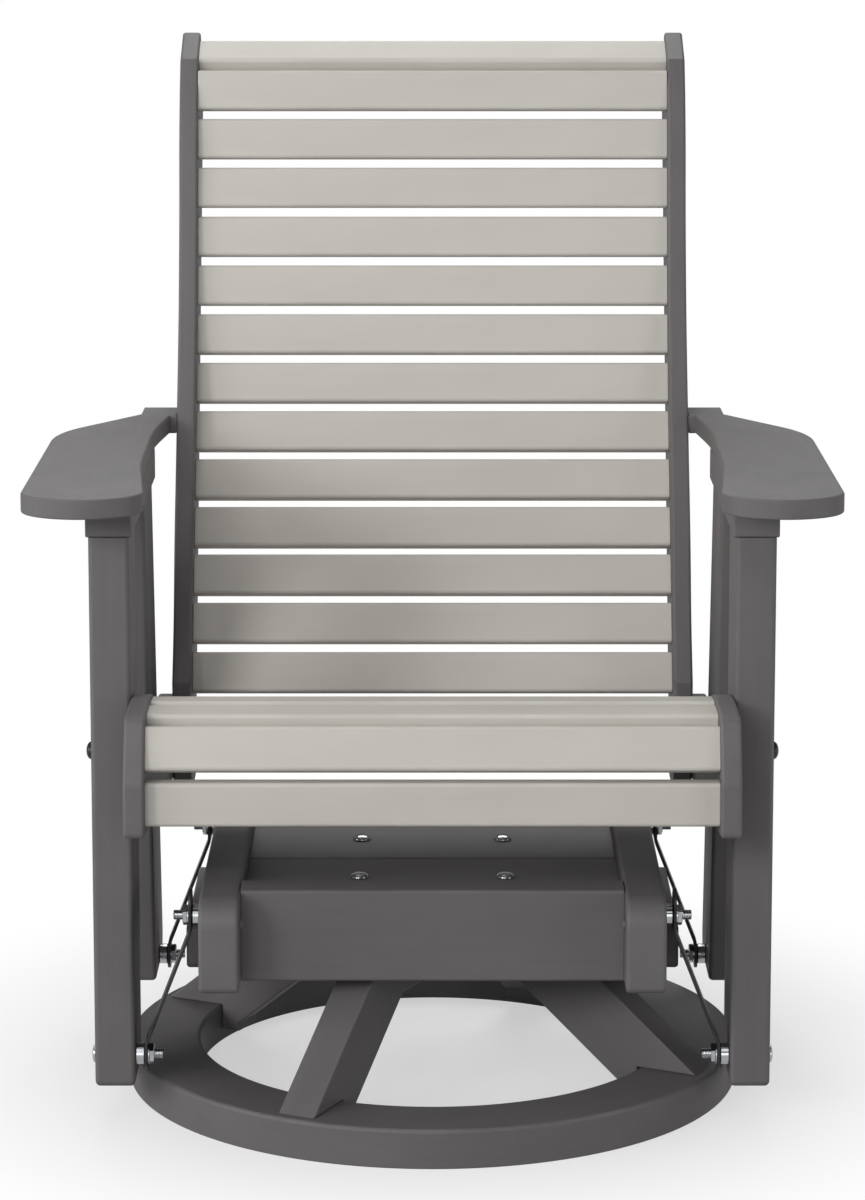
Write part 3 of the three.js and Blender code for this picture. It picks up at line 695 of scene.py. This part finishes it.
leg_waste = leg_top + 20
rear_leg_rise = leg_waste - rear_leg_foot
rear_leg_shift = rear_leg_rise * rear_leg_lean
leg_outlines = {
    "front": rounded([
        (front_leg_front, front_leg_foot, 7), (front_leg_front + leg_depth, front_leg_foot, 7),
        (front_leg_front + leg_depth, leg_waste, 0), (front_leg_front, leg_waste, 0),
    ]),
    "rear": rounded([
        (rear_leg_rear - rear_leg_depth, rear_leg_foot, 7), (rear_leg_rear, rear_leg_foot, 25),
        (rear_leg_rear - rear_leg_shift, leg_waste, 0),
        (rear_leg_rear - rear_leg_shift - rear_leg_depth, leg_waste, 0),
    ], 8),
}
for side, way in (("left", -1), ("right", 1)):
    for end, outline in leg_outlines.items():
        plane = along_x(way * (leg_inner + thick_board / 2))
        grain = up if end == "front" else (up - backward * rear_leg_lean).normalized()
        shape = saw_off(eased_board(outline, thick_board, 4.5, plane), leg_top)
        leg = piece(f"{end}_leg_{side}_lumber", shape, charcoal_lumber, grain, across * way)
        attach(leg, "chair")
        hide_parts(f"{end}_leg_{side}")


# The seat rails: two thin boards inside the legs, cut to the seat's curve. Their tops
# stand a little proud of the slats. Black domed bolts hold them to the legs.

seat_half = 264.5
seat_front = -289
rail_bottom = 311.5
seat_height = 416.52
seat_rear = 200
seat_drop = 82.5
seat_line_front = -239
seat_line_shares = ((0, 0), (0.095, 0), (0.206, 0.048), (0.41, 0.358), (0.637, 0.679), (0.816, 0.867), (1, 1))
seat_bolt_radius = 8.4
seat_bolt_height = 7.6
seat_bolt_places = ((-140, 359), (158, 300))


def smooth_line(points, count):
    """Points along a smooth curve that passes through the given ones."""
    points = [Vector(p) for p in points]
    last = len(points) - 1
    line = []
    for step in range(count + 1):
        reach = last * step / count
        leg = min(int(reach), last)
        share = reach - leg
        p0, p1 = points[max(leg - 1, 0)], points[leg]
        p2, p3 = points[min(leg + 1, last)], points[min(leg + 2, last)]
        v0, v1 = (p2 - p0) / 2, (p3 - p1) / 2
        line.append((2 * p1 - 2 * p2 + v0 + v1) * share ** 3 + (3 * p2 - 3 * p1 - 2 * v0 - v1) * share ** 2
                    + v0 * share + p1)
    return line


seat_line = smooth_line([(seat_line_front + depth * (seat_rear - seat_line_front), seat_height - drop * seat_drop)
                         for depth, drop in seat_line_shares], 48)
rail_top = [(p.x, p.y + 3) for p in seat_line]
rail_outline = rounded([
    (seat_front, rail_bottom, 6),
    (rail_top[-1][0], rail_top[-1][1] - 82, 10),
    (*rail_top[-1], 6),
    *[(*p, 0) for p in rail_top[1:-1][::-1]],
    (seat_front + 27, rail_top[0][1], 10),
    (seat_front, seat_height - 53.5, 20),
])
for side, way in (("left", -1), ("right", 1)):
    plane = along_x(way * (seat_half + thin_board / 2))
    rail = piece(f"seat_rail_{side}_lumber", eased_board(rail_outline, thin_board, 3, plane), charcoal_lumber,
                 backward, across * way)
    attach(rail, "chair")
    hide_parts(f"seat_rail_{side}")
    for number, (y, height) in enumerate(seat_bolt_places):
        head = turned(dome(seat_bolt_radius, seat_bolt_height, 0.1, 3), 40)
        lay_bolt(head, way, way * leg_outer, y, height)
        bolt = piece(f"seat_bolt_{side}_{number + 1}", head, black_powder_coat, backward, across * way)
        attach(bolt, "chair")


# The seat slats: light grey slats, 41.5 x 19 mm, cut square at their ends and screwed
# between the seat rails. Two close the front and seven follow the curve of the top.

slat_width = 41.5
slat_thickness = 19
warm_grey_lumber = lumber("warm_grey_hdpe_lumber", "#c1bdb6", "#c9c5be", "#bcb8b1", "#d3d0cb", 0.15)


def slat_lie(node):
    """The middle of a slat, in drawing millimetres, and the way its face looks."""
    widest = max(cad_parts[node].data.polygons, key=lambda side: side.area)
    low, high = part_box(node)
    face = widest.normal.copy()
    face.x = 0
    face.normalize()
    return from_axis.inverted() @ ((low + high) / 2), face if face.dot(Vector((0, -0.5, 1))) > 0 else -face


def lay_slat(node, length, material):
    """A slat laid where its CAD node lies, face out."""
    middle, face = slat_lie(node)
    plane = Matrix.Translation(middle) @ Matrix((face.cross(across), face, across)).transposed().to_4x4()
    shape = eased_board(rectangle(slat_width, slat_thickness, 4), length, 0.7, plane)
    return piece(f"{node}_lumber", shape, material, across, face)


for node in ("front_slat_lower", "front_slat_upper", *[f"seat_slat_{n}" for n in range(1, 8)]):
    slat = lay_slat(node, 2 * seat_half, warm_grey_lumber)
    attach(slat, "chair")
    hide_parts(node)


# The back stiles: two thin boards cut to the back's curve, leaning back between the seat
# rails. Their front edge bulges at the loins and shoulders, and the top is folded back.

back_lean = 19.65
stile_foot = Vector((0, 193.3, 250))
stile_length = 786
stile_depth = 109
stile_front_shares = ((0.107, 1), (0.19, 0.905), (0.3, 0.915), (0.424, 0.82),
                      (0.589, 0.717), (0.724, 0.775), (0.829, 0.91), (0.898, 0.932))


def on_stile(length_share, depth_share):
    """A place on the stile, by its share of the length and of the depth from the rear."""
    return (-depth_share * stile_depth, length_share * stile_length)


stile_front = smooth_line([on_stile(*share) for share in stile_front_shares], 56)
stile_outline = rounded([
    (0, 0, 6),
    (*on_stile(0.94, 0), 9),
    (*on_stile(1, 0.52), 6),
    (*on_stile(0.946, 0.89), 0),
    *[(p.x, p.y, 0) for p in stile_front[::-1]],
    (*on_stile(-0.032, 0.642), 6),
])
leaning = Matrix.Translation(stile_foot) @ Matrix.Rotation(math.radians(-back_lean), 4, "X")
stile_grain = leaning.to_3x3() @ up
for side, way in (("left", -1), ("right", 1)):
    plane = leaning @ along_x(way * (seat_half - thin_board / 2))
    stile = piece(f"back_stile_{side}_lumber", eased_board(stile_outline, thin_board, 3, plane), charcoal_lumber,
                  stile_grain, across * way)
    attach(stile, "chair")
    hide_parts(f"back_stile_{side}")


# The back slats: thirteen face slats between the stiles that follow the hollow of the
# back, and a roll-top slat that closes the folded top.

for node in (*[f"back_slat_{n:02d}" for n in range(1, 14)], "roll_top_slat"):
    slat = lay_slat(node, 2 * (seat_half - thin_board), warm_grey_lumber)
    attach(slat, "chair")
    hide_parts(node)


# The arms: broad thin boards with a round nose and a waisted inner edge. Each lies on a
# cleat, a thicker strip that caps the two legs, and its tail tab meets the stile.

cleat_height = 31.5
cleat_rear = 146
arm_outer = leg_outer + 58
arm_inner = leg_inner - 17
arm_rear = 290
tab_front = arm_rear - 56
arm_tail = seat_half + 37.5
nose_depth = 45
nose_base = front_leg_front - 81 + nose_depth
arm_waist_shares = ((1, 0.044), (0.775, 0.126), (0.56, 0.126), (0.342, 0.113), (0.223, 0.077), (0, 0))

nose_middle = (arm_outer + arm_inner) / 2
nose_half = (arm_outer - arm_inner) / 2
nose = [(nose_middle + nose_half * math.cos(math.radians(a)), nose_base + nose_depth * math.sin(math.radians(a)), 0)
        for a in range(180, 361, 5)]
waist = smooth_line([(arm_inner + wide * (arm_outer - arm_inner), nose_base + far * (tab_front - nose_base))
                     for far, wide in arm_waist_shares], 40)
arm_outline = rounded([
    *nose,
    (arm_outer, 121, 160),
    (arm_tail, tab_front + 10, 0),
    (arm_tail, arm_rear, 0),
    (seat_half, arm_rear, 0),
    (seat_half, tab_front, 0),
    *[(p.x, p.y, 0) for p in waist[:-1]],
], 12)
for side, way in (("left", -1), ("right", 1)):
    plane = Matrix.Translation((0, 0, leg_top + cleat_height + thin_board / 2))
    plan = [(Vector((way * p.x, p.y)), wear) for p, wear in arm_outline]
    arm = piece(f"arm_{side}_lumber", eased_board(plan, thin_board, 2, plane), charcoal_lumber, backward, up)
    cleat_length = cleat_rear - front_leg_front
    cleat_outline = rectangle(cleat_length, cleat_height, 3, front_leg_front + cleat_length / 2,
                              leg_top + cleat_height / 2)
    cleat = piece(f"cleat_{side}_lumber",
                  eased_board(cleat_outline, thick_board + 5, 1.5, along_x(way * (leg_inner + thick_board / 2))),
                  charcoal_lumber, backward, across * way)
    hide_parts(f"arm_{side}")
    for part in (arm, cleat):
        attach(part, "chair")


# The studio: a white paper sweep that keeps a faint shadow, softboxes above, in front and
# at the sides, and pale walls under a dim ceiling for the metal to mirror. Two fills light
# the right and the back, and leave no glare on level tops.

floor_half = 40
paper_near, paper_far = 0.25, 0.66
paper_white = 0.55
wall_top, ceiling_from = 0.05, 0.3
mirrored_white = 0.6
ceiling_grey = 0.12
room_glow = 0.03

floor_mesh = bpy.data.meshes.new("studio_floor")
floor_mesh.from_pydata([(-floor_half, -floor_half, 0), (floor_half, -floor_half, 0), (floor_half, floor_half, 0),
                        (-floor_half, floor_half, 0)], [], [(0, 1, 2, 3)])
floor = bpy.data.objects.new("studio_floor", floor_mesh)
bpy.context.scene.collection.objects.link(floor)

paper = bpy.data.materials.new("matt_paper_sweep")
paper.use_nodes = True
tree = paper.node_tree
tree.nodes.clear()
own = add(tree, "TexCoord").outputs["Object"]
reach = add(tree, "VectorMath", {0: own}, operation="LENGTH").outputs["Value"]
beyond = add(tree, "MapRange", {"Value": reach, "From Min": paper_near, "From Max": paper_far, "To Min": paper_white},
             interpolation_type="SMOOTHSTEP").outputs[0]
rays = add(tree, "LightPath").outputs
seen = add(tree, "Math", {0: rays["Is Camera Ray"], 1: rays["Is Glossy Ray"]}, operation="MAXIMUM").outputs[0]
seen = add(tree, "Math", {0: seen, 1: rays["Is Transmission Ray"]}, operation="MAXIMUM").outputs[0]
lit = add(tree, "BsdfDiffuse", {"Color": linear("#d9d9d8")})
shade = add(tree, "BsdfDiffuse", {"Color": linear("#8f8f8f")})
glow = add(tree, "Math", {0: rays["Is Camera Ray"], 1: mirrored_white}, operation="MAXIMUM").outputs[0]
white = add(tree, "Emission", {"Color": (1, 1, 1, 1), "Strength": glow})
shown = add(tree, "MixShader", {0: beyond, 1: lit.outputs[0], 2: white.outputs[0]})
sweep = add(tree, "MixShader", {0: seen, 1: shade.outputs[0], 2: shown.outputs[0]})
add(tree, "OutputMaterial", {"Surface": sweep.outputs[0]})
floor_mesh.materials.append(paper)

world = bpy.data.worlds.new("white_studio")
bpy.context.scene.world = world
world.use_nodes = True
tree = world.node_tree
tree.nodes.clear()
look = add(tree, "SeparateXYZ", {0: add(tree, "TexCoord").outputs["Generated"]}).outputs["Z"]
wall = add(tree, "MapRange", {"Value": look, "From Min": wall_top, "From Max": ceiling_from,
                              "To Min": mirrored_white, "To Max": ceiling_grey})
rays = add(tree, "LightPath").outputs
seen = add(tree, "Math", {0: rays["Is Camera Ray"], 1: rays["Is Glossy Ray"]}, operation="MAXIMUM").outputs[0]
seen = add(tree, "Math", {0: seen, 1: rays["Is Transmission Ray"]}, operation="MAXIMUM").outputs[0]
room = add(tree, "Background", {"Color": linear("#ffffff"), "Strength": room_glow})
wall = add(tree, "Math", {0: wall.outputs[0], 1: rays["Is Camera Ray"]}, operation="MAXIMUM")
backdrop = add(tree, "Background", {"Color": (1, 1, 1, 1), "Strength": wall.outputs[0]})
both = add(tree, "MixShader", {0: seen, 1: room.outputs[0], 2: backdrop.outputs[0]})
add(tree, "OutputWorld", {"Surface": both.outputs[0]})

aim = from_axis @ Vector((0, 0, 450))
for name, place, size, watts, mirrored in (
    ("overhead_softbox", (-0.4, -0.1, 2.8), 1.8, 11, True),
    ("rear_softbox", (0, 2.1, 2.9), 1.8, 48, True),
    ("fore_softbox", (0, -2.4, 2.9), 1.8, 11, True),
    ("front_softbox", (0.2, -4.6, 0.8), 2.0, 19, True),
    ("near_key_softbox", (-1.4, -4.2, 2.2), 1.2, 42, True),
    ("far_key_softbox", (-2.8, -3.2, 1.9), 1.2, 60, True),
    ("left_softbox", (-3.7, -1.7, 1.8), 1.2, 26, True),
    ("low_left_softbox", (-3.4, -0.8, 0.8), 1.6, 24, True),
    ("low_right_softbox", (3.2, -2.0, 0.7), 1.6, 28, True),
    ("right_fill", (4.0, 0.9, 1.5), 1.8, 36, False),
    ("back_fill", (-1.2, 4.4, 1.7), 1.8, 44, False),
):
    softbox = bpy.data.lights.new(name, "AREA")
    softbox.shape = "SQUARE"
    softbox.size = size
    softbox.energy = watts
    lamp = bpy.data.objects.new(name, softbox)
    lamp.location = place
    lamp.rotation_euler = (Vector(place) - aim).to_track_quat("Z", "Y").to_euler()
    lamp.visible_glossy = mirrored
    bpy.context.scene.collection.objects.link(lamp)


# The camera: it stands square in front, 3.8 m away and higher than the back, and looks a
# little down.

eye_distance = 3830
eye_height = 1258
downward_tilt = 9.12

lens = bpy.data.cameras.new("camera")
camera = bpy.data.objects.new("camera", lens)
camera.location = from_axis @ Vector((0, -eye_distance, eye_height))
camera.rotation_euler = (math.radians(90 - downward_tilt), 0, 0)
lens.sensor_width = 36
lens.lens = 119.4
lens.shift_y = -0.14
lens.clip_end = 200
bpy.context.scene.collection.objects.link(camera)
bpy.context.scene.camera = camera
bpy.context.scene.view_settings.view_transform = "Standard"
